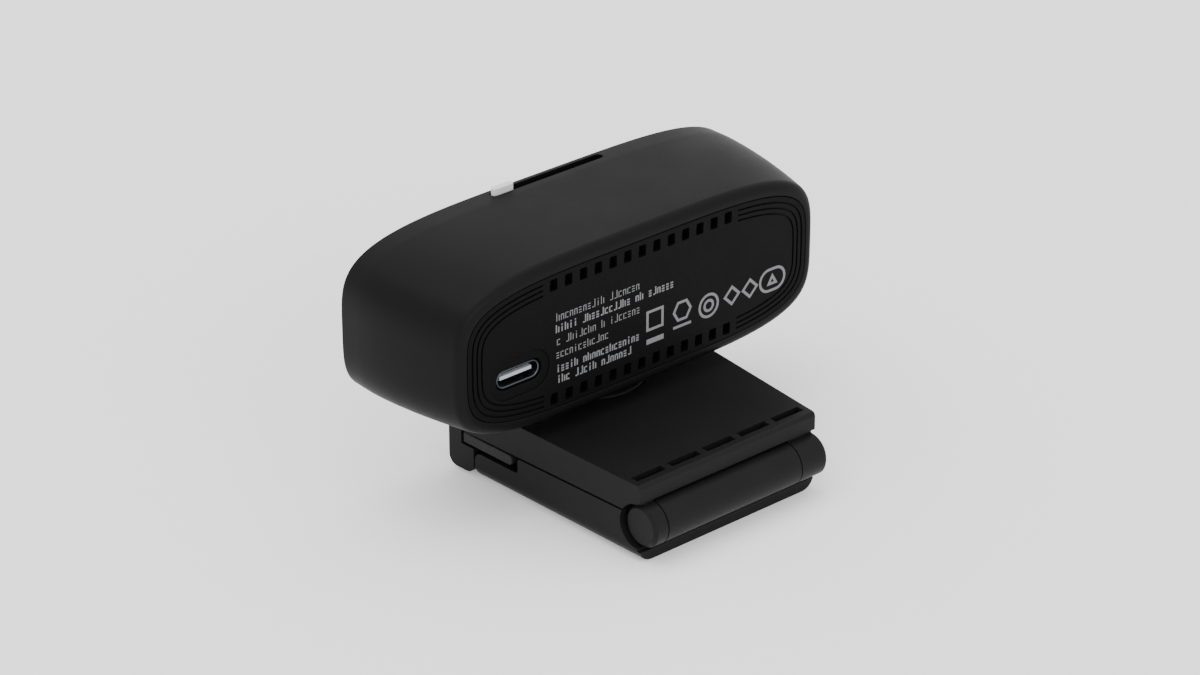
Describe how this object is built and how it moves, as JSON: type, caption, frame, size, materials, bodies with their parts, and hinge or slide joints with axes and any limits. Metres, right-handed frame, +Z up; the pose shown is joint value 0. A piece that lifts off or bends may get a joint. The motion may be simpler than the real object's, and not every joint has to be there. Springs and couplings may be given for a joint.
{
  "type": "webcam",
  "caption": "Oblong webcam with a sliding lens shutter on a swivel and tilt neck over a folding monitor clip with a hinged leg.",
  "frame": {"origin": "on the head's swivel axis, in the plane that the folded leg rests on", "axes": "+Z up, the lens looks along -Y, the USB inlet faces +Y, +X along the head's width"},
  "size_m": [0.0846, 0.0513, 0.0483],
  "materials": {
    "satin_body": "fine satin spark texture, soft sheen",
    "rear_panel": "matte moulded plastic with grey print",
    "gloss_window": "polished black acrylic",
    "lens_bezel": "dark anodised, turned",
    "clear_glass": "clear, polished",
    "coated_glass": "coated lens element",
    "inner_plastic": "matte",
    "light_pipe": "frosted clear",
    "led_package": "moulded white",
    "soft_rubber": "matte rubber",
    "steel": "machined",
    "inlet_steel": "drawn steel",
    "chip": "moulded epoxy",
    "circuit_board": "solder mask",
    "shutter_black": "matte",
    "light_grey": "satin",
    "clip_plastic": "fine matte spark texture",
    "brass": "turned"
  },
  "bodies": {
    "clip": {"clip_plate": "clip_plastic", "clip_cover": "inner_plastic", "grip_pad": "soft_rubber", "clip_cover_screw_1": "steel", "clip_cover_screw_2": "steel", "clip_cover_screw_3": "steel", "clip_cover_screw_4": "steel", "hinge_pin": "steel", "hinge_friction_sleeve": "steel"},
    "leg": {"leg_shell": "clip_plastic", "leg_cover": "inner_plastic", "leg_pad": "soft_rubber", "tripod_insert": "brass", "leg_cover_screw_1": "steel", "leg_cover_screw_2": "steel", "leg_cover_screw_3": "steel", "leg_cover_screw_4": "steel"},
    "swivel": {"swivel_base": "clip_plastic", "swivel_washer": "steel", "swivel_screw": "steel"},
    "head": {"body_shell": "satin_body", "rear_panel": "rear_panel", "front_window": "gloss_window", "lens_bezel": "lens_bezel", "lens_cover": "clear_glass", "front_frame": "inner_plastic", "light_pipe": "light_pipe", "status_led": "led_package", "mic_gasket_left": "soft_rubber", "mic_gasket_right": "soft_rubber", "microphone_left": "steel", "microphone_right": "steel", "lens_holder": "inner_plastic", "lens_barrel": "inner_plastic", "lens_glass": "coated_glass", "image_sensor": "chip", "main_board": "circuit_board", "board_screw_1": "steel", "board_screw_2": "steel", "board_screw_3": "steel", "board_screw_4": "steel", "processor_chip": "chip", "usb_c_shell": "inlet_steel", "usb_c_tongue": "chip", "tilt_bracket": "steel", "tilt_pin": "steel", "tilt_washer_left": "steel", "tilt_washer_right": "steel", "bracket_screw_1": "steel", "bracket_screw_2": "steel"},
    "shutter": {"shutter_blade": "shutter_black", "shutter_knob": "light_grey"}
  },
  "joints": [
    {"name": "leg_fold", "type": "hinge", "parent": "clip", "child": "leg", "pos_m": [0, 0.03442, 0.00655], "axis": [1, 0, 0], "range_deg": [0, 150]},
    {"name": "head_swivel", "type": "hinge", "parent": "clip", "child": "swivel", "pos_m": [0, 0, 0.0142], "axis": [0, 0, 1], "range_deg": [-180, 180]},
    {"name": "head_tilt", "type": "hinge", "parent": "swivel", "child": "head", "pos_m": [0, 0, 0.02205], "axis": [1, 0, 0], "range_deg": [-12, 6]},
    {"name": "shutter_slide", "type": "slide", "parent": "head", "child": "shutter", "axis": [-1, 0, 0], "range_m": [0, 0.0192]}
  ]
}
